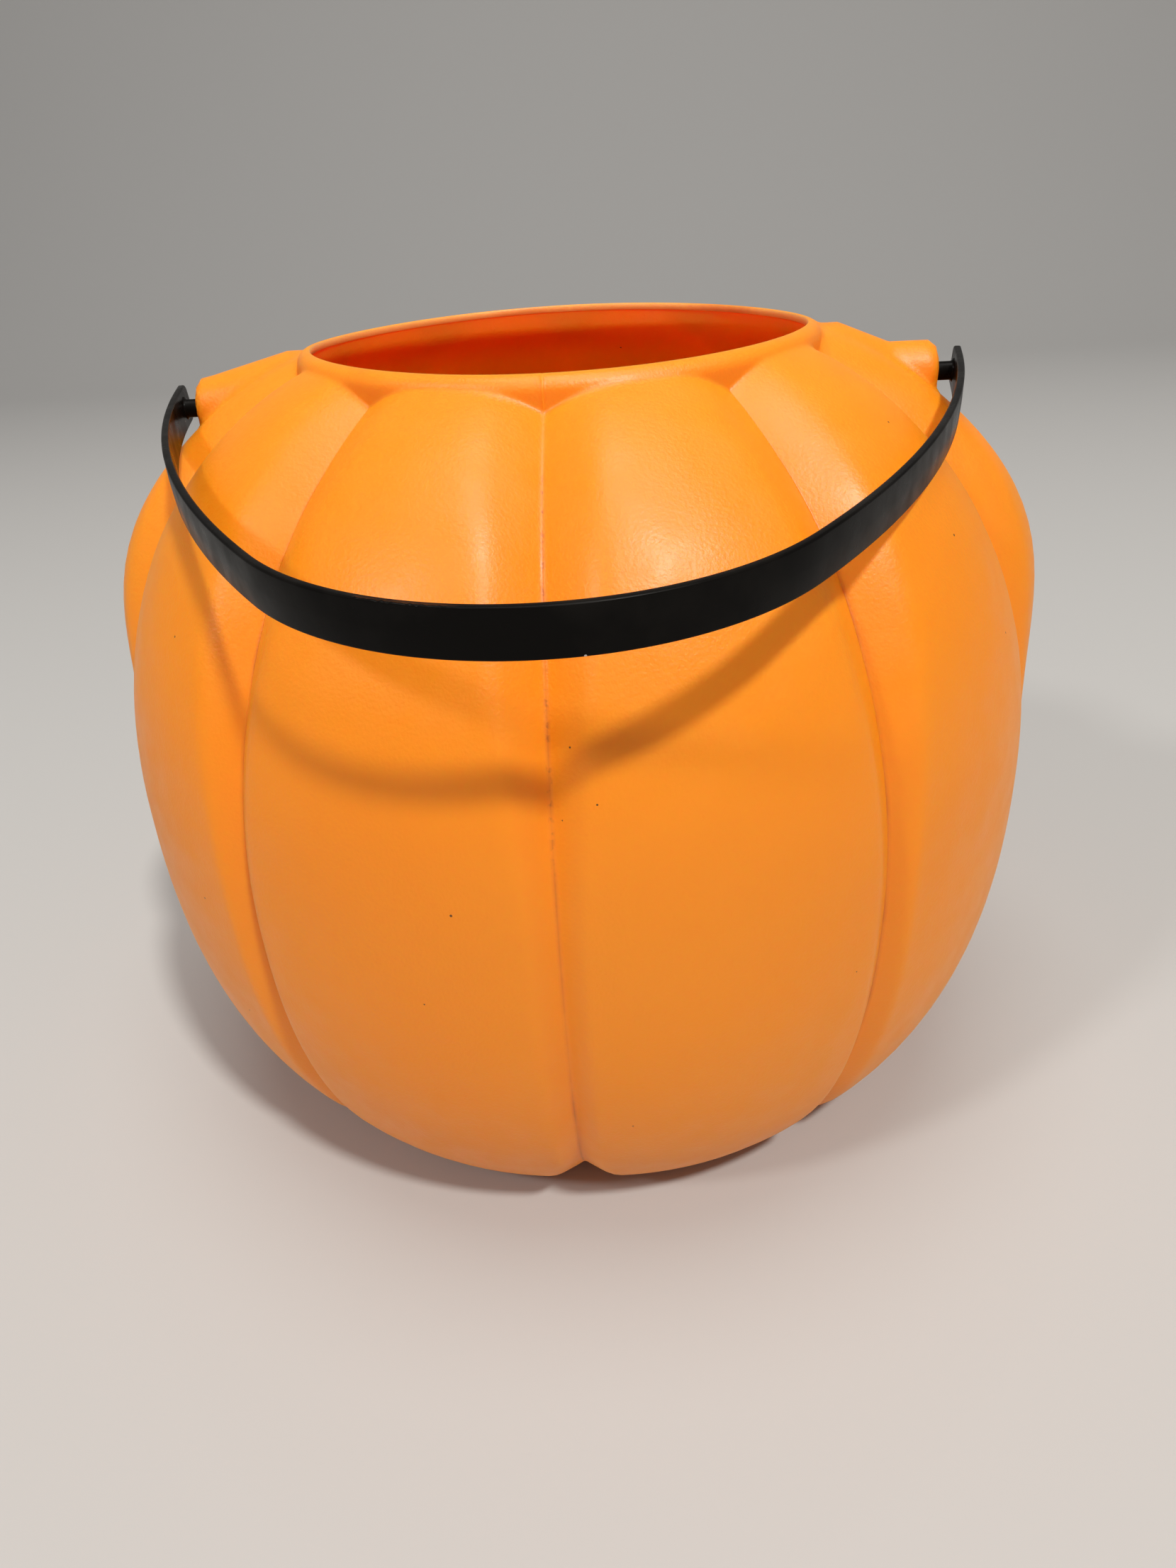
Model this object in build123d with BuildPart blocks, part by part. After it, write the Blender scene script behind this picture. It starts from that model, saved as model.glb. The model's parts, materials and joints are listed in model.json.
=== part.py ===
"""A blow-moulded candy pail with ten pumpkin lobes and a strap handle that snaps into two moulded lugs.

Sizes are in millimetres. The origin is the middle of the base, +Z is up, the lugs lie along X and the handle rests
toward -Y.
"""
import os
from math import atan2, cos, degrees, pi, radians, sin, tan

from build123d import *

# Pail shell
lobe_count = 10
body_radius = 114.0
rim_height = 188.0
belly_height_share = 0.46277
root_below = 11.0
lobe_centre = 50.0
neck_radius = 60.5
lip_radius = 3.0
wall = 1.8
foot_radius = 62.0
push_up = 4.0
push_up_run = 12.0

# A lobe's outline is a superellipse above and below the belly, turned in flat bands
bulge_power = 2.3
shoulder_power = 0.6
root_power = 0.5
root_edge_shares = (0.0, 0.38)
shoulder_edge_shares = (0.0, 0.48, 0.76)
lobe_top_share = 0.972

# The two lobes that carry the lugs swell over the shoulder
handle_lobe_swell = 7.9
handle_lobe_half_angle = 28.0
swell_start_share = 0.50
swell_span_share = 0.56

# Lugs that carry the handle
lug_radius = 7.0
lug_top_margin = 1.2
lug_barrel_length = 7.5
lug_flare_length = 14.0
lug_drop_share = 0.13069
lug_fall = 7.46
lug_edge_bevel = 1.6

# Strap handle
strap_width = 8.5
strap_thickness = 1.8
handle_stand_out = 14.4
crown_radius_share = 0.6101
crown_half_angle = 52.1
tip_length = 7.0
tip_round_share = 0.45
rest_slope_share = 0.0745

# Pegs of the handle
peg_radius = 2.1
peg_clearance = 0.15
peg_neck = 4.6
head_radius = 3.1
head_length = 4.5
head_lead_radius = 1.6
end_play = 0.8

overrun = 1.0

os.makedirs("parts", exist_ok=True)

half_lobe = 180 / lobe_count
belly_height = rim_height * belly_height_share
root_drop = belly_height + root_below
shoulder_span = rim_height - belly_height
lobe_top = belly_height + shoulder_span * lobe_top_share


def lobe_radius_at(height):
    """Radius of a lobe about its own upright axis."""
    span = shoulder_span if height > belly_height else root_drop
    power = shoulder_power if height > belly_height else root_power
    share = abs(height - belly_height) / span
    return (body_radius - lobe_centre) * (1 - share**bulge_power) ** power


def swell_at(height):
    """How far a handle lobe stands out beyond the others."""
    share = (height / rim_height - swell_start_share) / swell_span_share
    return handle_lobe_swell * sin(pi * share) ** 2 if share > 0 else 0


def lobe_levels():
    """Heights of the edges of the bands, closer together where the outline turns faster."""
    for share in root_edge_shares:
        yield belly_height * share
    for share in shoulder_edge_shares:
        yield belly_height + shoulder_span * share
    yield lobe_top


def lobe_wedge(inset, half_angle, swell_share):
    """The sector of one lobe on +X, or of the hollow inside it when set in by the wall."""
    far = 2 * body_radius
    far_half_width = far * tan(radians(half_angle))
    with BuildPart() as wedge:
        with BuildSketch(Plane.XZ):
            with BuildLine():
                outline = [
                    (
                        lobe_centre + lobe_radius_at(height) + swell_share * swell_at(height) - inset,
                        height + inset * (1 - 2 * height / lobe_top),
                    )
                    for height in lobe_levels()
                ]
                Polyline((lobe_centre, inset), *outline, (lobe_centre, lobe_top - inset), close=True)
            make_face()
        revolve(axis=Axis((lobe_centre, 0, 0), (0, 0, 1)))
        with BuildSketch():
            with BuildLine():
                Polyline((0, 0), (far, -far_half_width), (far, far_half_width), close=True)
            make_face()
        extrude(amount=rim_height, mode=Mode.INTERSECT)
    return wedge.part


def lobed_solid(inset):
    """All the lobes round a core, with the two handle lobes swelled over the shoulder."""
    with BuildPart() as lobed:
        with BuildSketch(Plane.XY.offset(inset)):
            Circle(lobe_centre)
        extrude(amount=lobe_top - 2 * inset)
        with PolarLocations(0, lobe_count):
            add(lobe_wedge(inset, half_lobe, 0))
        with PolarLocations(0, 2):
            add(lobe_wedge(inset, handle_lobe_half_angle, 1))
    return lobed.part


lug_drop = shoulder_span * lug_drop_share
lug_root_radius = lug_drop - lug_top_margin
lug_height = rim_height - lug_drop
lug_stand = lug_fall * (body_radius - lobe_centre) / shoulder_span
lug_reach = lobe_centre + lobe_radius_at(lug_height) + swell_at(lug_height) + lug_stand
lug_axis = Axis((0, 0, lug_height), (1, 0, 0))
mouth_radius = neck_radius - lip_radius
inner_neck_radius = neck_radius - wall
lip_height = rim_height - lip_radius
collar_foot = lobe_top - 2 * lip_radius


def lug_barrel(inset):
    """A lug on +X that flares out of the neck, or the hollow inside it when set in by the wall."""
    foot = neck_radius - wall / 2 + 2 * inset
    end = lug_reach - inset
    barrel_start = lug_reach - lug_barrel_length
    flare_start = barrel_start - lug_flare_length
    with BuildPart() as lug:
        with BuildSketch(Plane.XZ):
            with BuildLine():
                Polyline(
                    (foot, lug_height),
                    (foot, lug_height + lug_root_radius - inset),
                    (flare_start, lug_height + lug_root_radius - inset),
                    (barrel_start, lug_height + lug_radius - inset),
                    (end - lug_edge_bevel, lug_height + lug_radius - inset),
                    (end, lug_height + lug_radius - inset - lug_edge_bevel),
                    (end, lug_height),
                    close=True,
                )
            make_face()
        revolve(axis=lug_axis)
    return lug.part


# Pail body: the lobed shell with its collar, lugs and pushed-up base
with BuildPart() as pail_body:
    add(lobed_solid(0))

    # Collar with a lip that rolls in over the mouth
    roll = lip_radius * sin(radians(45))
    with BuildSketch(Plane.XZ):
        with BuildLine():
            Polyline(
                (0, collar_foot),
                (neck_radius, collar_foot),
                (neck_radius, lip_height),
                (mouth_radius + roll, lip_height + roll),
                (mouth_radius, rim_height),
                (0, rim_height),
                close=True,
            )
        make_face()
    revolve(axis=Axis.Z)
    lug = lug_barrel(0)
    add(lug)
    add(mirror(lug, about=Plane.YZ, mode=Mode.PRIVATE))

    # Hollow inside, open at the mouth
    add(lobed_solid(wall), mode=Mode.SUBTRACT)
    with BuildSketch(Plane.XZ):
        with BuildLine():
            Polyline(
                (0, collar_foot - lip_radius),
                (inner_neck_radius, collar_foot - lip_radius),
                (inner_neck_radius, lip_height),
                (mouth_radius, lip_height + inner_neck_radius - mouth_radius),
                (mouth_radius, rim_height + overrun),
                (0, rim_height + overrun),
                close=True,
            )
        make_face()
    revolve(axis=Axis.Z, mode=Mode.SUBTRACT)
    lug_hollow = lug_barrel(wall)
    add(lug_hollow, mode=Mode.SUBTRACT)
    add(mirror(lug_hollow, about=Plane.YZ, mode=Mode.PRIVATE), mode=Mode.SUBTRACT)

    # Peg holes through the lug ends
    with BuildSketch(Plane.YZ):
        with Locations((0, lug_height)):
            Circle(peg_radius + peg_clearance)
    extrude(amount=lug_reach + overrun, both=True, mode=Mode.SUBTRACT)

    # Base pushed up in the middle
    for rise, mode in ((wall, Mode.ADD), (0, Mode.SUBTRACT)):
        with BuildSketch(Plane.XZ):
            with BuildLine():
                Polyline(
                    (0, 0),
                    (foot_radius + rise, 0),
                    (foot_radius - push_up_run + rise, push_up + rise),
                    (0, push_up + rise),
                    close=True,
                )
            make_face()
        revolve(axis=Axis.Z, mode=mode)

pail_body.part.label = "pail_body"
export_step(pail_body.part, "parts/pail_body.step")

# Handle: a bowed strap with a headed peg at each end
half_span = lug_reach + peg_neck + strap_thickness / 2
neck_end = lug_reach - wall - end_play
handle_reach = body_radius + handle_stand_out
crown_radius = half_span * crown_radius_share
rest_dip = degrees(atan2(shoulder_span * rest_slope_share, body_radius - lobe_centre))
strap_plane = Plane(
    origin=(0, 0, lug_height),
    x_dir=(1, 0, 0),
    z_dir=(0, sin(radians(rest_dip)), -cos(radians(rest_dip))),
)
with BuildPart() as handle:
    with BuildSketch(strap_plane):
        with BuildLine():
            crown = JernArc((0, handle_reach), (1, 0), crown_radius, -crown_half_angle)
            flank = TangentArc(crown @ 1, (half_span, 0), tangent=crown % 1)
            Line(flank @ 1, flank @ 1 + (flank % 1) * tip_length)
            mirror(about=Plane.YZ)
        trace(line_width=strap_thickness)
    extrude(amount=strap_width / 2, both=True)
    tip_ends = handle.faces().filter_by(GeomType.PLANE).sort_by(Axis.Y)[-2:]
    tip_corners = tip_ends.edges().filter_by(lambda edge: edge.length < (strap_width + strap_thickness) / 2)
    fillet(tip_corners, strap_width * tip_round_share)
    for side in (1, -1):
        with BuildSketch(Plane.XZ):
            with BuildLine():
                Polyline(
                    (side * half_span, lug_height),
                    (side * half_span, lug_height + peg_radius),
                    (side * neck_end, lug_height + peg_radius),
                    (side * neck_end, lug_height + head_radius),
                    (side * (neck_end - head_length), lug_height + head_lead_radius),
                    (side * (neck_end - head_length), lug_height),
                    close=True,
                )
            make_face()
        revolve(axis=lug_axis)

handle.part.label = "handle"
export_step(handle.part, "parts/handle.step")
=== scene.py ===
import json
import math

import bpy
import numpy as np
from mathutils import Matrix, Vector


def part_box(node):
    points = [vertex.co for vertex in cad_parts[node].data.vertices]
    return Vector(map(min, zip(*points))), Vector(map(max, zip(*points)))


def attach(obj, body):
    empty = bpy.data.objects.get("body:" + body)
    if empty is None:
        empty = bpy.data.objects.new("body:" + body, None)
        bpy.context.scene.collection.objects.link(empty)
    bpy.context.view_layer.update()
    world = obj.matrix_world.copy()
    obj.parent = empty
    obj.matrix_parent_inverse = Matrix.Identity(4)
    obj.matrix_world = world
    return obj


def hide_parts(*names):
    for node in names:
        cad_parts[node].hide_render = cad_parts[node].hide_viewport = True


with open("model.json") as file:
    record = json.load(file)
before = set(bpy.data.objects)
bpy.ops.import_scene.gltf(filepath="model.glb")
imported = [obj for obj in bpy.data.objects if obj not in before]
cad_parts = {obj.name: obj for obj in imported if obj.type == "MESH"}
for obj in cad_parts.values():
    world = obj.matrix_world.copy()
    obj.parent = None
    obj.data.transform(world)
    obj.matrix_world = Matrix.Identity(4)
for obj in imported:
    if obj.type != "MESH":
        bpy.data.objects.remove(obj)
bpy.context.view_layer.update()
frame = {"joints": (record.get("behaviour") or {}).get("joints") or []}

# Pail body
# One blow-moulded shell of orange polyethylene. A hot tube of plastic is blown out against a two-part mould,
# so the wall is even, the lobes are soft and a parting line runs up the front and back. The top is cut off to
# open the mouth.
lobe_count = 10
body_radius = 0.114
belly_height = 0.087
root_drop = 0.098
bulge_power = 2.3
shoulder_power = 0.6
root_power = 0.5
lobe_centre = 0.050
neck_radius = 0.0605
lip_radius = 0.0030
wall = 0.0018
rim_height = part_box("pail_body")[1].z
lip_height = rim_height - lip_radius
mouth_radius = neck_radius - lip_radius
base_round = 0.0060
foot_radius = 0.062
push_up = 0.0040
push_up_run = 0.012
neck_flare = 1.7
straight_rim = 0.0035
neck_flare_run = 0.0080

shoulder_shares = (0.45, 0.95)
foot_share = 0.14
lobe_bow = 0.0010
shoulder_bow = 0.0016
groove_half_width = 0.0050
groove_depth = 0.0030
groove_round = 0.22
shoulder_widening = 0.0060
shoulder_deepening = 0.0042
foot_widening = 0.0030
foot_deepening = 0.0026
handle_lobe_swell = 0.0079
swell_start_share = 0.50
swell_span_share = 0.56
collar_blend = 0.0008
flash_height = 0.00030
flash_half_width = 0.00045
front_rim_sag = 0.0027
back_rim_rise = 0.0018

lug_height = frame["joints"][0]["pos_m"][2]
lug_reach = 0.0878
lug_radius = 0.0070
lug_root_radius = 0.0118
right_barrel_start = 0.0770
left_barrel_start = 0.0850
lug_flare_start = 0.0650
lug_edge_round = 0.0020
lug_blend = 0.0012
lug_window_share = 0.83
shoulder_start = 0.150
tops_start = 0.176


def smooth_step(low, high, value):
    """0 below low, 1 above high, and an S curve between."""
    share = np.clip((value - low) / (high - low), 0, 1)
    return share * share * (3 - 2 * share)


def smooth_max(a, b, blend):
    """The larger of two values, rounded over where they are within blend of each other."""
    overlap = np.maximum(blend - np.abs(a - b), 0) / blend
    return np.maximum(a, b) + overlap * overlap * blend / 4


def crest_radius(height):
    """Distance from the pail's axis to the crest of a lobe, a superellipse above and below the belly."""
    above = height > belly_height
    span = np.where(above, rim_height - belly_height, root_drop)
    power = np.where(above, shoulder_power, root_power)
    share = np.clip(np.abs(height - belly_height) / span, 0, 1)
    radius = lobe_centre + (body_radius - lobe_centre) * (1 - share**bulge_power) ** power
    under = np.clip(base_round - height, 0, base_round)
    return radius - (base_round - np.sqrt(base_round**2 - under**2))


def collar_radius(height):
    """The plain collar under the lobes' tops, with its lip rolling in at the rim."""
    over = np.clip(height - lip_height, 0, lip_radius)
    return mouth_radius + np.sqrt(lip_radius**2 - over**2)


def wall_radius(angle, height):
    """Distance from the axis to the outside of the shell, without the lugs."""
    share = height / rim_height
    lobe = angle * lobe_count / (2 * np.pi)
    across = 2 * (lobe - np.round(lobe))
    carries_lug = np.round(lobe) % (lobe_count // 2) == 0
    toward_rim = smooth_step(*shoulder_shares, share)
    toward_foot = 1 - smooth_step(0.0, foot_share, share)
    crest = crest_radius(height)
    from_groove = (1 - np.abs(across)) * np.pi / lobe_count * crest
    half_width = groove_half_width + shoulder_widening * toward_rim + foot_widening * toward_foot
    depth = groove_depth + shoulder_deepening * toward_rim + foot_deepening * toward_foot
    bow = (lobe_bow + shoulder_bow * toward_rim) * across**2
    lobed = crest - bow - depth * smooth_max(1 - from_groove / half_width, 0, groove_round)
    swell = np.sin(np.pi * np.clip((share - swell_start_share) / swell_span_share, 0, 1)) ** 2
    lobed = lobed + np.where(carries_lug, handle_lobe_swell * swell * (1 - np.abs(across) ** 3), 0)
    return smooth_max(lobed, collar_radius(height), collar_blend)


def shell_distance(point):
    """About how far a point lies outside the shell, with the two lugs blended on."""
    radius = np.hypot(point[..., 0], point[..., 1])
    angle = np.arctan2(point[..., 1], point[..., 0])
    step = 0.0002
    height = np.clip(point[..., 2], 0, rim_height)
    here = wall_radius(angle, height)
    slope = (wall_radius(angle, height + step) - wall_radius(angle, height - step)) / (2 * step)
    lobes = (radius - here) / np.sqrt(1 + slope**2)
    along = np.abs(point[..., 0])
    barrel_start = np.where(point[..., 0] > 0, right_barrel_start, left_barrel_start)
    flare = np.clip((barrel_start - along) / (barrel_start - lug_flare_start), 0, 1)
    barrel = lug_radius + (lug_root_radius - lug_radius) * flare
    side = np.hypot(point[..., 1], point[..., 2] - lug_height) - barrel + lug_edge_round
    end = along - lug_reach + lug_edge_round
    lug = np.minimum(np.maximum(side, end), 0) - lug_edge_round
    lug = lug + np.hypot(np.maximum(side, 0), np.maximum(end, 0))
    return -smooth_max(-lobes, -lug, lug_blend)


def shell_gradient(point):
    """Direction in which the distance to the shell grows."""
    step = 0.0001
    parts = []
    for axis in np.eye(3) * step:
        parts.append((shell_distance(point + axis) - shell_distance(point - axis)) / (2 * step))
    return np.stack(parts, -1)


def column_angles():
    """Angles round the pail, close together at the grooves and over the two lugs."""
    edge = [lug_window_share, 0.85, 0.87, 0.89, 0.91, 0.935, 0.96, 0.98, 0.992]
    plain = [0, 0.15, 0.30, 0.43, 0.54, 0.63, 0.70, 0.76, 0.80] + edge
    fine = list(np.linspace(0, 0.80, 23)) + edge
    half_lobe = np.pi / lobe_count
    angles = []
    for lobe in range(lobe_count):
        shares = fine if lobe % (lobe_count // 2) == 0 else plain
        offsets = [-share for share in reversed(shares[1:])] + list(shares) + [1]
        angles += [(2 * lobe + offset) * half_lobe for offset in offsets]
    return np.array(angles)


def row_heights():
    """Heights up the wall, close together at the foot, the lugs and the lobes' tops."""
    foot = base_round * (1 - np.cos(np.linspace(0, np.pi / 2, 8)))
    belly = np.linspace(base_round, shoulder_start, 36)
    shoulder = np.linspace(shoulder_start, tops_start, 28)
    tops = np.linspace(tops_start, lip_height, 22)
    lip = lip_height + lip_radius * np.sin(np.linspace(0, np.pi / 2, 12))
    return np.concatenate([foot, belly[1:], shoulder[1:], tops[1:], lip[1:]])


def raise_lug(points, angles, heights, side):
    """Lifts the window of the wall round one lug onto the blended form, then evens out its mesh."""
    first_reach = 0.030
    rim_margin = 0.0006
    ease = 0.6
    lift_rounds = 70
    even_rounds = 90
    turn = np.abs(np.angle(np.exp(1j * (angles - side))))
    columns = np.flatnonzero(turn < lug_window_share * np.pi / lobe_count)
    columns = columns[np.argsort(np.angle(np.exp(1j * (angles[columns] - side))))]
    rows = np.flatnonzero((heights > shoulder_start) & (heights < rim_height - rim_margin))
    window = points[np.ix_(rows, columns)]
    outward = np.array([np.cos(side), np.sin(side), 1]) * np.sqrt(0.5)
    reach = np.full(window.shape[:2] + (1,), first_reach)
    for _ in range(lift_rounds):
        reach = reach - ease * shell_distance(window + outward * reach)[..., None]
        reach = np.maximum(reach, 0)
    window = window + outward * reach
    for _ in range(even_rounds):
        spread = (window[:-2, 1:-1] + window[2:, 1:-1] + window[1:-1, :-2] + window[1:-1, 2:]) / 4
        window[1:-1, 1:-1] += ease * (spread - window[1:-1, 1:-1])
        inner = window[1:-1, 1:-1]
        slope = shell_gradient(inner)
        pull = shell_distance(inner)[..., None] * slope / np.sum(slope * slope, -1, keepdims=True)
        window[1:-1, 1:-1] = inner - pull
    points[np.ix_(rows, columns)] = window


angles = column_angles()
heights = row_heights()
angle_grid, height_grid = np.meshgrid(angles, heights)
radius_grid = wall_radius(angle_grid, height_grid)
outside = np.stack([radius_grid * np.cos(angle_grid), radius_grid * np.sin(angle_grid), height_grid], -1)
raise_lug(outside, angles, heights, 0.0)
raise_lug(outside, angles, heights, np.pi)

# The base runs in from the foot, with its middle pushed up
foot = radius_grid[0]
base_rows = []
for share in (0.0, 0.15, 0.55):
    base_rows.append((foot + (foot_radius - foot) * share, 0.0))
for share in (0.0, 0.12, 0.35, 0.65, 0.88, 1.0):
    rise = push_up * float(smooth_step(0, 1, share))
    base_rows.append((foot_radius - push_up_run * share + 0 * foot, rise))
for share in (0.6, 0.2):
    base_rows.append(((foot_radius - push_up_run) * share + 0 * foot, push_up))
base = [np.stack([r * np.cos(angles), r * np.sin(angles), z + 0 * r], -1) for r, z in base_rows[1:]]
skin = np.concatenate([np.array(base[::-1]), outside], 0)

# The rim is cut unevenly, lower at the front than at the back
trim = back_rim_rise * np.clip(skin[..., 1] / neck_radius, 0, 1) ** 2
trim = trim - front_rim_sag * np.clip(-skin[..., 1] / neck_radius, 0, 1) ** 2
skin[..., 2] += trim * smooth_step(shoulder_start, rim_height, skin[..., 2])


def grid_faces(rows, columns):
    """Quads of a grid that closes on itself round the pail."""
    faces = []
    for row in range(rows - 1):
        for column in range(columns):
            after = (column + 1) % columns
            low = row * columns
            faces.append((low + column, low + after, low + columns + after, low + columns + column))
    return faces


rows, columns = skin.shape[:2]
vertices = skin.reshape(-1, 3)
faces = grid_faces(rows, columns)
centre = len(vertices)
vertices = np.vstack([vertices, [[0, 0, push_up]]])
faces += [(centre, (k + 1) % columns, k) for k in range(columns)]
outer_mesh = bpy.data.meshes.new("pail_skin")
outer_mesh.from_pydata(vertices.tolist(), [], faces)
outer_mesh.update()
normals = np.zeros(len(vertices) * 3, np.float32)
outer_mesh.vertex_normals.foreach_get("vector", normals)
inside = vertices - wall * normals.reshape(-1, 3)
bpy.data.meshes.remove(outer_mesh)

# Inside, the rim is straight and the blown wall is thicker where the lobes turn into the neck
inner_radius = np.hypot(inside[:, 0], inside[:, 1])
below_rim = np.clip(rim_height - straight_rim - inside[:, 2], 0, None)
soft_neck = mouth_radius + neck_flare * below_rim**2 / (below_rim + neck_flare_run)
inside[:, :2] *= (np.minimum(inner_radius, soft_neck) / np.maximum(inner_radius, wall))[:, None]

# The mould's halves leave a raised line of flash up the front and back, outside only
flash = flash_height * np.clip(1 - np.abs(vertices[:, 0]) / flash_half_width, 0, 1)
flash = flash * smooth_step(0, base_round, vertices[:, 2])
outer_radius = np.hypot(vertices[:, 0], vertices[:, 1])
vertices[:, :2] *= (1 + flash / np.maximum(outer_radius, wall))[:, None]

# The cut edge joins the outer and inner skins round the mouth
outer_edge = vertices[(rows - 1) * columns : rows * columns]
inner_edge = inside[(rows - 1) * columns : rows * columns]
toward_axis = np.stack([-np.cos(angles), -np.sin(angles), 0 * angles], -1)
cut_bulges = ((0.12, 0.00018), (0.5, 0.00024), (0.88, 0.00018))
cut_rows = []
for share, bulge in cut_bulges:
    cut_rows.append(outer_edge + (inner_edge - outer_edge) * share + toward_axis * bulge)
cut = np.concatenate(cut_rows, 0)
count = len(vertices)
all_vertices = np.vstack([vertices, inside, cut])
all_faces = list(faces)
all_faces += [tuple(index + count for index in reversed(face)) for face in faces]
top_row = (rows - 1) * columns
rings = [top_row] + [2 * count + k * columns for k in range(len(cut_rows))] + [count + top_row]
for low, high in zip(rings[:-1], rings[1:]):
    for column in range(columns):
        after = (column + 1) % columns
        all_faces.append((low + column, low + after, high + after, high + column))

pail_mesh = bpy.data.meshes.new("pail_shell")
pail_mesh.from_pydata(all_vertices.tolist(), [], all_faces)
pail_mesh.update()
pail_mesh.shade_smooth()


def point_attribute(mesh, name, values):
    """Stores one number per vertex for a material to read."""
    attribute = mesh.attributes.new(name, "FLOAT", "POINT")
    attribute.data.foreach_set("value", np.asarray(values, np.float32))


lip_depths = (0.005, 0.001)
lobe_top_heights = (0.166, 0.174)
groove_line_shares = (0.985, 1.0)
parting_half_width = 0.004
stain_heights = (0.090, 0.130)
under_rim_heights = (0.172, 0.182)
vertex_height = all_vertices[:, 2]
turn = np.arctan2(all_vertices[:, 1], all_vertices[:, 0]) * lobe_count / (2 * np.pi)
groove = np.abs(2 * (turn - np.round(turn)))
is_inside = np.zeros(len(all_vertices))
is_inside[count : 2 * count] = 1
is_cut = np.zeros(len(all_vertices))
is_cut[2 * count :] = 1
on_lip = smooth_step(rim_height - lip_depths[0], rim_height - lip_depths[1], vertex_height)
on_lip = on_lip * (1 - is_inside)
on_wall = (1 - is_inside) * (1 - is_cut) * (1 - smooth_step(*lobe_top_heights, vertex_height))
# Marks the crease of each groove, where the material paints shade mixed with dust
in_groove = smooth_step(*groove_line_shares, groove) * on_wall
on_parting = in_groove * (np.abs(all_vertices[:, 0]) < parting_half_width)
on_parting = on_parting * smooth_step(*stain_heights, vertex_height)
# Marks the inner collar under the rim, where the material paints shade
painted_shade_under_rim = is_inside * smooth_step(*under_rim_heights, vertex_height)
point_attribute(pail_mesh, "groove", in_groove)
point_attribute(pail_mesh, "parting", on_parting)
point_attribute(pail_mesh, "lip", on_lip)
point_attribute(pail_mesh, "inside", is_inside)
point_attribute(pail_mesh, "painted_shade_under_rim", painted_shade_under_rim)
point_attribute(pail_mesh, "cut_edge", is_cut)

pail = bpy.data.objects.new("pail_shell", pail_mesh)
bpy.context.scene.collection.objects.link(pail)


class Finish:
    """A material under construction, with short calls to add nodes and join them."""

    def __init__(self, name):
        self.material = bpy.data.materials.new(name)
        self.material.use_nodes = True
        self.tree = self.material.node_tree
        self.shader = self.tree.nodes["Principled BSDF"]

    def node(self, kind, inputs=None, **settings):
        made = self.tree.nodes.new(kind)
        for key, value in settings.items():
            setattr(made, key, value)
        for key, value in (inputs or {}).items():
            self.feed(made.inputs[key], value)
        return made

    def feed(self, socket, value):
        if isinstance(value, bpy.types.NodeSocket):
            self.tree.links.new(value, socket)
        else:
            socket.default_value = value

    def noise(self, scale, detail=2.0, roughness=0.5):
        place = self.node("ShaderNodeTexCoord").outputs["Object"]
        inputs = {"Vector": place, "Scale": scale, "Detail": detail, "Roughness": roughness}
        return self.node("ShaderNodeTexNoise", inputs).outputs["Fac"]

    def band(self, value, low, high, to_low=0.0, to_high=1.0):
        inputs = {"Value": value, "From Min": low, "From Max": high, "To Min": to_low, "To Max": to_high}
        return self.node("ShaderNodeMapRange", inputs).outputs["Result"]

    def math(self, operation, a, b):
        return self.node("ShaderNodeMath", {0: a, 1: b}, operation=operation).outputs[0]

    def mix(self, share, a, b):
        made = self.tree.nodes.new("ShaderNodeMix")
        made.data_type = "RGBA"
        self.feed(made.inputs["Factor"], share)
        self.feed(made.inputs[6], a)
        self.feed(made.inputs[7], b)
        return made.outputs[2]

    def specks(self, per_metre, radius):
        place = self.node("ShaderNodeTexCoord").outputs["Object"]
        cells = self.node("ShaderNodeTexVoronoi", {"Vector": place, "Scale": per_metre})
        return self.math("LESS_THAN", cells.outputs["Distance"], radius * per_metre)

    def attribute(self, name):
        return self.node("ShaderNodeAttribute", attribute_name=name).outputs["Fac"]

    def bump(self, height, strength, distance):
        inputs = {"Height": height, "Strength": strength, "Distance": distance}
        self.feed(self.shader.inputs["Normal"], self.node("ShaderNodeBump", inputs).outputs["Normal"])


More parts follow.
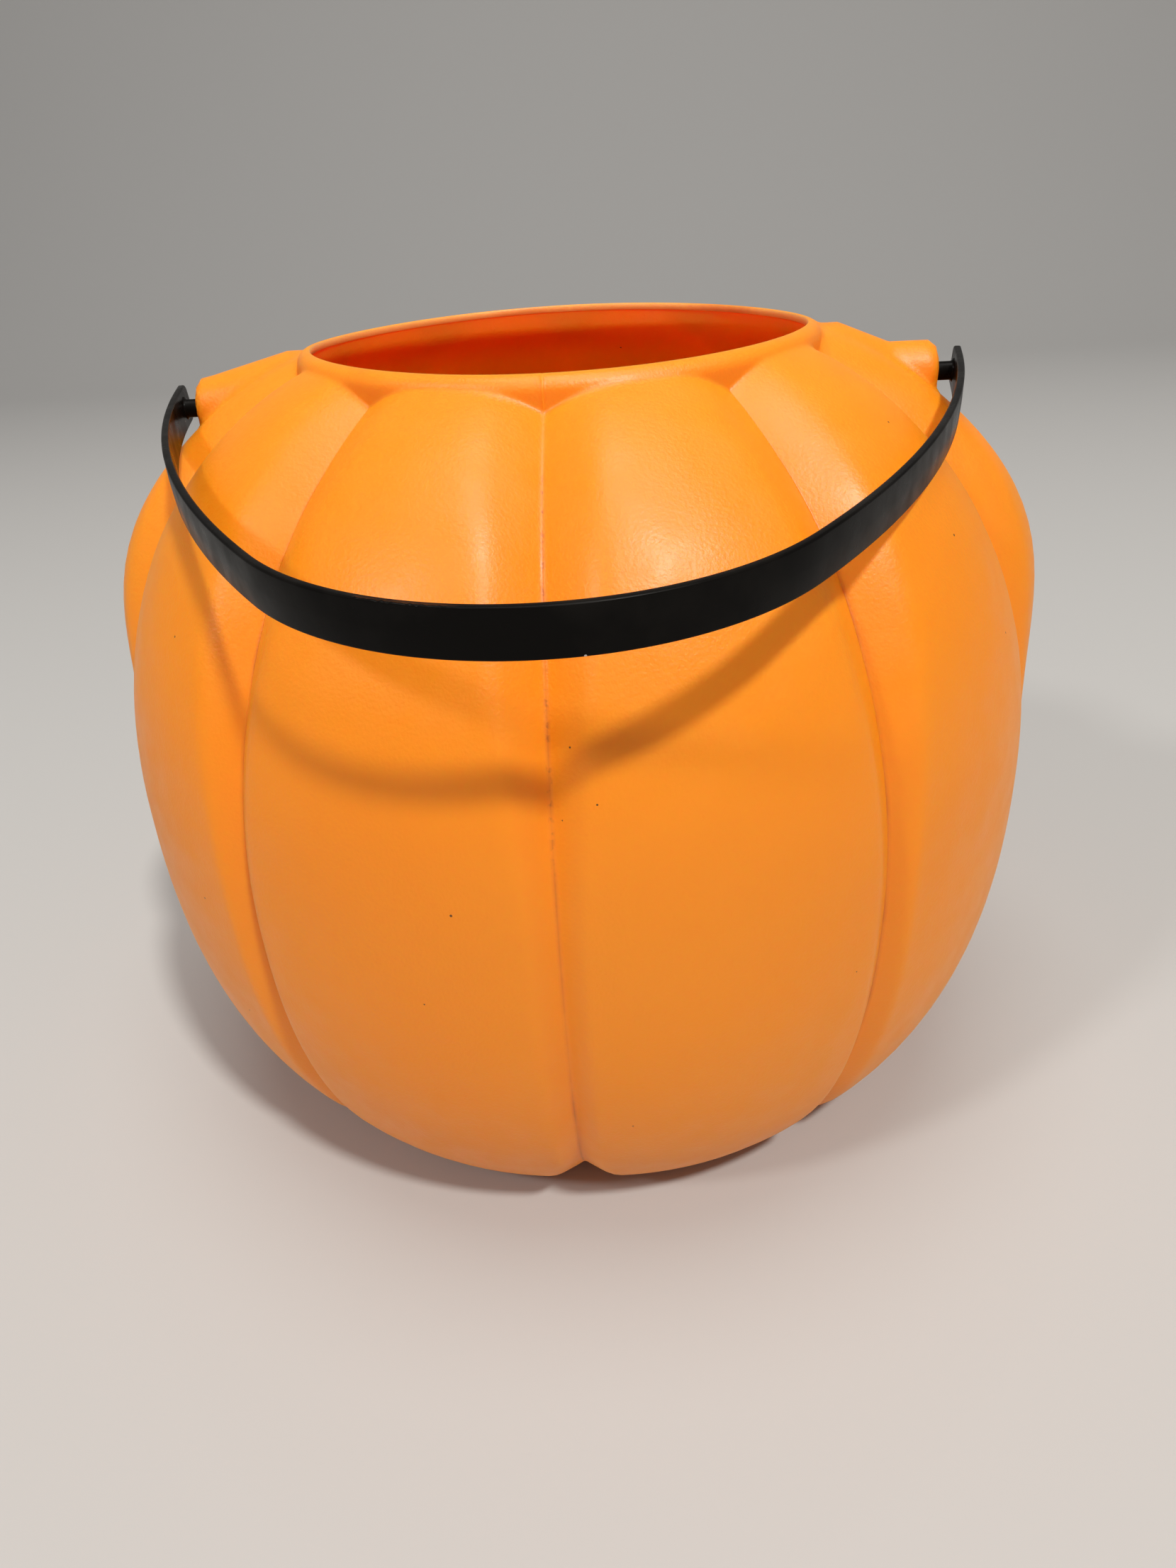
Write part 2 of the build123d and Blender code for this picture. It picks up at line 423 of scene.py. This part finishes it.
def pumpkin_plastic():
    """Orange polyethylene with a peel from the mould, specks and dirt on the lip, a scuffed cut edge with a
    painted highlight, dirt and painted shade in the grooves, a painted glow inside and painted shade under
    the rim inside.
    """
    finish = Finish("pumpkin_plastic")
    orange = (0.94, 0.250, 0.004, 1)
    paler = (0.97, 0.278, 0.008, 1)
    # The inside is painted a brighter, yellower orange than the outside: a painted glow for light passing
    # through the wall
    painted_glow_inside = (1.0, 0.40, 0.006, 1)
    # Darker, redder colour on the inner collar under the rim: painted shade
    painted_shade_under_rim = (0.95, 0.165, 0.003, 1)
    # The cut edge is paler: partly scuffing, partly a painted highlight
    trimmed_edge_and_highlight = (0.95, 0.40, 0.13, 1)
    # Dust colour, used for dirt on the lip and for painted shade along the groove creases
    dust_and_crease_shade = (0.50, 0.12, 0.008, 1)
    grit = (0.10, 0.035, 0.008, 1)
    stain = (0.30, 0.075, 0.008, 1)
    colour = finish.mix(finish.band(finish.noise(9.0, 3.0), 0.35, 0.7), orange, paler)
    colour = finish.mix(finish.attribute("inside"), colour, painted_glow_inside)
    colour = finish.mix(finish.attribute("painted_shade_under_rim"), colour, painted_shade_under_rim)
    patchy = finish.band(finish.noise(70.0, 3.0), 0.40, 0.70, 0.25, 0.80)
    # Painted shade, broken up by patchy noise like dust, along the crease of every groove
    colour = finish.mix(finish.math("MULTIPLY", finish.attribute("groove"), patchy), colour, dust_and_crease_shade)
    dots = finish.band(finish.noise(600.0, 2.0), 0.55, 0.63, 0.0, 0.6)
    colour = finish.mix(finish.math("MULTIPLY", finish.attribute("parting"), dots), colour, stain)
    colour = finish.mix(finish.math("MULTIPLY", finish.attribute("cut_edge"), 0.7), colour, trimmed_edge_and_highlight)
    smears = finish.band(finish.noise(38.0, 4.0), 0.56, 0.70, 0.0, 0.5)
    colour = finish.mix(finish.math("MULTIPLY", finish.attribute("lip"), smears), colour, dust_and_crease_shade)
    colour = finish.mix(finish.specks(85.0, 0.00026), colour, grit)
    finish.feed(finish.shader.inputs["Base Color"], colour)
    gloss = finish.band(finish.noise(120.0, 3.0), 0.3, 0.7, 0.38, 0.50)
    finish.feed(finish.shader.inputs["Roughness"], gloss)
    finish.shader.inputs["Specular IOR Level"].default_value = 0.42
    through = finish.band(finish.attribute("inside"), 0.0, 1.0, 0.60, 0.97)
    finish.feed(finish.shader.inputs["Subsurface Weight"], through)
    finish.shader.inputs["Subsurface Radius"].default_value = (1.0, 0.36, 0.10)
    depth = finish.band(finish.attribute("inside"), 0.0, 1.0, 0.0065, 0.012)
    finish.feed(finish.shader.inputs["Subsurface Scale"], depth)
    ripple = finish.math("MULTIPLY", finish.noise(110.0, 2.0), 1.5)
    finish.bump(finish.math("ADD", finish.noise(1400.0, 2.0), ripple), 0.6, 0.00013)
    return finish.material


pail_mesh.materials.append(pumpkin_plastic())
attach(pail, "pail")
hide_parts("pail_body")

# Handle
# One injection-moulded strap of black polypropylene, bowed so that it clears the mouth. A headed peg at each
# end is sprung through the hole in its lug, where it turns.
strap_width = 0.0085
strap_thickness = 0.0018
strap_edge_round = 0.00042
strap_draft = 0.00010
ridge_shares = (0.05, 0.012, -0.012, -0.05)
flash_bead = 0.00026
flash_start_mm = (-27, -23)
flash_end_mm = (-11, -8)
flash_lean = 0.4
insert_lines = (-0.138, -0.112, 0.100, 0.138)
insert_line_half_width = 0.00014
peg_neck_length = 0.0046
handle_reach = 0.1284
crown_radius = 0.0569
crown_half_angle = math.radians(52.1)
crown_steps = 105
flank_steps = 48
tip_steps = 8
half_span = lug_reach + peg_neck_length + strap_thickness / 2
tip_length = 0.0070
tip_straight_share = 0.3
tip_round = 0.0018
rest_dip = math.radians(6.7)
peg_radius = 0.0021
peg_head_radius = 0.0031
peg_neck_end = 0.0852
peg_head_length = 0.0045
peg_lead_radius = 0.0017


def strap_route():
    """Half of the strap's middle line in its own plane, from the crown to a tip, with the way it heads."""
    points = []
    for turn in np.linspace(0, crown_half_angle, crown_steps):
        place = (crown_radius * math.sin(turn), handle_reach - crown_radius * (1 - math.cos(turn)))
        points.append((*place, math.cos(turn), -math.sin(turn)))
    start = np.array(points[-1][:2])
    heading = np.array(points[-1][2:])
    inward = np.array([heading[1], -heading[0]])
    chord = np.array([half_span, 0]) - start
    flank_radius = chord @ chord / (2 * inward @ chord)
    flank_turn = 2 * math.atan2(inward @ chord, heading @ chord)
    for turn in np.linspace(0, flank_turn, flank_steps)[1:]:
        place = start + flank_radius * (math.sin(turn) * heading + (1 - math.cos(turn)) * inward)
        way = math.cos(turn) * heading + math.sin(turn) * inward
        points.append((*place, *way))
    last = np.array(points[-1][:2])
    way = np.array(points[-1][2:])
    rounded = [tip_length - tip_round * (1 - math.sin(turn)) for turn in np.linspace(0, 1.5, tip_steps)]
    for run in [tip_straight_share * tip_length] + rounded:
        points.append((*(last + way * run), *way))
    return np.array(points)


def strap_section(width):
    """Outline of the strap as offsets through its thickness and across its width.

    Both faces slope a little from a parting line along their middle, and the edges are rounded.
    """
    edge_t = strap_thickness / 2 - strap_draft
    outline = []
    for corner in range(4):
        sign_t = (1, -1, -1, 1)[corner]
        sign_w = (1, 1, -1, -1)[corner]
        for step in range(5):
            turn = math.pi / 2 * (corner + step / 4)
            t = sign_t * (edge_t - strap_edge_round) + strap_edge_round * math.cos(turn)
            w = sign_w * (width / 2 - strap_edge_round) + strap_edge_round * math.sin(turn)
            outline.append((t, w))
        if corner in (1, 3):
            for share in ridge_shares:
                t = sign_t * (strap_thickness / 2 - 2 * strap_draft * abs(share))
                outline.append((t, sign_w * share * width))
    return outline


def flash_at(place):
    """Height of the ragged flash along part of the strap's upper outer edge, by distance from the middle."""
    mm = place * 1000
    inside_run = smooth_step(*flash_start_mm, mm) * (1 - smooth_step(*flash_end_mm, mm))
    ragged = 0.55 + 0.30 * math.sin(4.1 * mm + 1.3) + 0.25 * math.sin(9.7 * mm)
    return flash_bead * float(inside_run) * max(ragged, 0)


half_route = strap_route()
mirrored = half_route[:0:-1] * np.array([-1, 1, 1, -1])
route = np.vstack([mirrored, half_route])
steps = np.r_[0, np.cumsum(np.linalg.norm(np.diff(route[:, :2], axis=0), axis=1))]
from_tip = np.minimum(steps, steps[-1] - steps)
handle_vertices = []
along = []
least_width = 2.2 * strap_edge_round
# Points of the strap's section at the corner that carries the flash
flash_corner = range(15, 18)
for (x, y, way_x, way_y), run, place in zip(route, from_tip, steps - steps[-1] / 2):
    narrowed = max(tip_round - run, 0)
    width = strap_width - 2 * (tip_round - math.sqrt(max(tip_round**2 - narrowed**2, 0)))
    bead = flash_at(place)
    for k, (t, w) in enumerate(strap_section(max(width, least_width))):
        if k in flash_corner:
            t, w = t - flash_lean * bead, w - bead
        handle_vertices.append((x + t * way_y, y - t * way_x, w))
        along.append(place)
ring = len(strap_section(strap_width))
handle_faces = []
for row in range(len(route) - 1):
    for k in range(ring):
        after = (k + 1) % ring
        low = row * ring
        handle_faces.append((low + k, low + ring + k, low + ring + after, low + after))
handle_faces.append(tuple(range(ring)))
handle_faces.append(tuple((len(route) - 1) * ring + k for k in reversed(range(ring))))

# The strap's plane dips toward the front from the line of the pegs
plane_y = Vector((0, -math.cos(rest_dip), -math.sin(rest_dip)))
plane_z = Vector((1, 0, 0)).cross(plane_y)
pivot = Vector((0, 0, lug_height))
handle_vertices = [
    tuple(pivot + Vector((x, 0, 0)) + plane_y * y + plane_z * z) for x, y, z in handle_vertices
]

# Each peg flares where it leaves the strap, and its head is tapered to lead it into the hole
strap_face = half_span - strap_thickness / 2
peg_head_end = peg_neck_end - peg_head_length
peg_profile = (
    (half_span, peg_radius + 0.0007),
    (strap_face, peg_radius + 0.0006),
    (strap_face - 0.0003, peg_radius + 0.0002),
    (strap_face - 0.0007, peg_radius),
    (peg_neck_end, peg_radius),
    (peg_neck_end, peg_head_radius - 0.0002),
    (peg_neck_end - 0.0003, peg_head_radius),
    (peg_head_end, peg_lead_radius),
    (peg_head_end - 0.0003, peg_lead_radius - 0.0004),
)
peg_sides = 40
for side in (1, -1):
    start = len(handle_vertices)
    for station, radius in peg_profile:
        for k in range(peg_sides):
            turn = 2 * math.pi * k / peg_sides
            y, z = radius * math.cos(turn), radius * math.sin(turn)
            handle_vertices.append((side * station, y, lug_height + z))
    for row in range(len(peg_profile) - 1):
        for k in range(peg_sides):
            after = (k + 1) % peg_sides
            low = start + row * peg_sides
            quad = (low + k, low + after, low + peg_sides + after, low + peg_sides + k)
            handle_faces.append(quad if side < 0 else quad[::-1])
    last = start + (len(peg_profile) - 1) * peg_sides
    handle_faces.append(tuple(start + k for k in range(peg_sides))[::side])
    handle_faces.append(tuple(last + k for k in range(peg_sides))[::-side])

handle_mesh = bpy.data.meshes.new("strap_handle")
handle_mesh.from_pydata(handle_vertices, [], handle_faces)
handle_mesh.update()
handle_mesh.shade_smooth()
handle_mesh.set_sharp_from_angle(angle=math.radians(40))
point_attribute(handle_mesh, "along", along + [0.0] * (len(handle_vertices) - len(along)))
handle = bpy.data.objects.new("strap_handle", handle_mesh)
bpy.context.scene.collection.objects.link(handle)


def strap_plastic():
    """Black polypropylene, semi-gloss, with scuffs, lint and the fine lines of the mould's inserts."""
    finish = Finish("strap_plastic")
    black = (0.0036, 0.0031, 0.0027, 1)
    worn = (0.0095, 0.0082, 0.0070, 1)
    lint = (0.55, 0.54, 0.52, 1)
    scuffs = finish.band(finish.noise(60.0, 4.0), 0.45, 0.75)
    colour = finish.mix(scuffs, black, worn)
    colour = finish.mix(finish.specks(130.0, 0.00022), colour, lint)
    finish.feed(finish.shader.inputs["Base Color"], colour)
    gloss = finish.band(finish.noise(140.0, 3.0), 0.3, 0.7, 0.24, 0.38)
    finish.feed(finish.shader.inputs["Roughness"], gloss)
    finish.shader.inputs["Specular IOR Level"].default_value = 0.05
    height = finish.math("MULTIPLY", finish.noise(500.0, 2.0), 0.5)
    for place in insert_lines:
        near = {0: finish.attribute("along"), 1: place, 2: insert_line_half_width}
        line = finish.node("ShaderNodeMath", near, operation="COMPARE").outputs[0]
        height = finish.math("SUBTRACT", height, line)
    finish.bump(height, 0.3, 0.00010)
    return finish.material


handle_mesh.materials.append(strap_plastic())
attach(handle, "handle")
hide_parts("handle")

# Floor and light
# A pale floor that sweeps up behind into a backdrop, a soft lamp high in front and to the right, a weaker one
# to the left, a wide one overhead, and an even surround.
sweep_start = 1.5
sweep_radius = 1.2
sweep_half_width = 5.0
floor_front = -4.0
backdrop_height = 4.0
lamp_aim = Vector((0, 0, 0.10))
sweep_line = [(floor_front, 0.0), (-1.0, 0.0), (0.0, 0.0), (sweep_start, 0.0)]
for share in np.linspace(0, 1, 25)[1:]:
    rise = share * math.pi / 2
    sweep_line.append((sweep_start + sweep_radius * math.sin(rise), sweep_radius * (1 - math.cos(rise))))
sweep_line.append((sweep_start + sweep_radius, backdrop_height))
sweep_points = [(side * sweep_half_width, y, z) for y, z in sweep_line for side in (-1, 1)]
sweep_faces = [(2 * k, 2 * k + 1, 2 * k + 3, 2 * k + 2) for k in range(len(sweep_line) - 1)]
floor_mesh = bpy.data.meshes.new("floor")
floor_mesh.from_pydata(sweep_points, [], sweep_faces)
floor_mesh.shade_smooth()
floor = bpy.data.objects.new("floor", floor_mesh)
bpy.context.scene.collection.objects.link(floor)
floor_finish = Finish("pale_floor")
floor_finish.shader.inputs["Base Color"].default_value = (0.46, 0.454, 0.445, 1)
floor_finish.shader.inputs["Roughness"].default_value = 0.8
floor_mesh.materials.append(floor_finish.material)

world = bpy.data.worlds.new("surround")
bpy.context.scene.world = world
world.use_nodes = True
world.node_tree.nodes["Background"].inputs["Color"].default_value = (0.98, 0.98, 1.0, 1)
world.node_tree.nodes["Background"].inputs["Strength"].default_value = 0.22


def soft_lamp(name, place, size, power, colour):
    """A round area lamp aimed at the middle of the pail."""
    lamp = bpy.data.lights.new(name, "AREA")
    lamp.shape = "DISK"
    lamp.size = size
    lamp.energy = power
    lamp.color = colour
    holder = bpy.data.objects.new(name, lamp)
    holder.location = place
    holder.rotation_euler = (lamp_aim - Vector(place)).to_track_quat("-Z", "Y").to_euler()
    bpy.context.scene.collection.objects.link(holder)


soft_lamp("key_lamp", (0.88, -1.41, 2.48), 0.24, 63.0, (1.0, 0.965, 0.91))
soft_lamp("second_lamp", (-1.44, -1.31, 1.83), 0.30, 18.0, (1.0, 0.975, 0.94))
soft_lamp("overhead_lamp", (0.0, -0.10, 2.20), 1.20, 18.0, (1.0, 0.97, 0.92))

# Camera
# A camera held close in front and above, turned a little to the left and tilted, with the photograph's angle
# of view. Its place was fitted to the pail's outline, grooves and rim.
image_height_px = 2212
focal_px = 1485
camera_place = Vector((0.0162, -0.2675, 0.2103))
camera_yaw = -0.0578
camera_pitch = -0.4908
camera_roll = -0.0581
forward = Vector(
    (
        math.sin(camera_yaw) * math.cos(camera_pitch),
        math.cos(camera_yaw) * math.cos(camera_pitch),
        math.sin(camera_pitch),
    )
)
level = Vector((math.cos(camera_yaw), -math.sin(camera_yaw), 0))
upright = level.cross(forward)
across = math.cos(camera_roll) * level + math.sin(camera_roll) * upright
upward = math.cos(camera_roll) * upright - math.sin(camera_roll) * level
camera = bpy.data.cameras.new("camera")
camera.sensor_fit = "VERTICAL"
camera.sensor_height = 36.0
camera.lens = focal_px / image_height_px * camera.sensor_height
camera.clip_start = 0.01
holder = bpy.data.objects.new("camera", camera)
holder.matrix_world = Matrix(
    (
        (across.x, upward.x, -forward.x, camera_place.x),
        (across.y, upward.y, -forward.y, camera_place.y),
        (across.z, upward.z, -forward.z, camera_place.z),
        (0, 0, 0, 1),
    )
)
bpy.context.scene.collection.objects.link(holder)
bpy.context.scene.camera = holder
bpy.context.scene.view_settings.view_transform = "Standard"
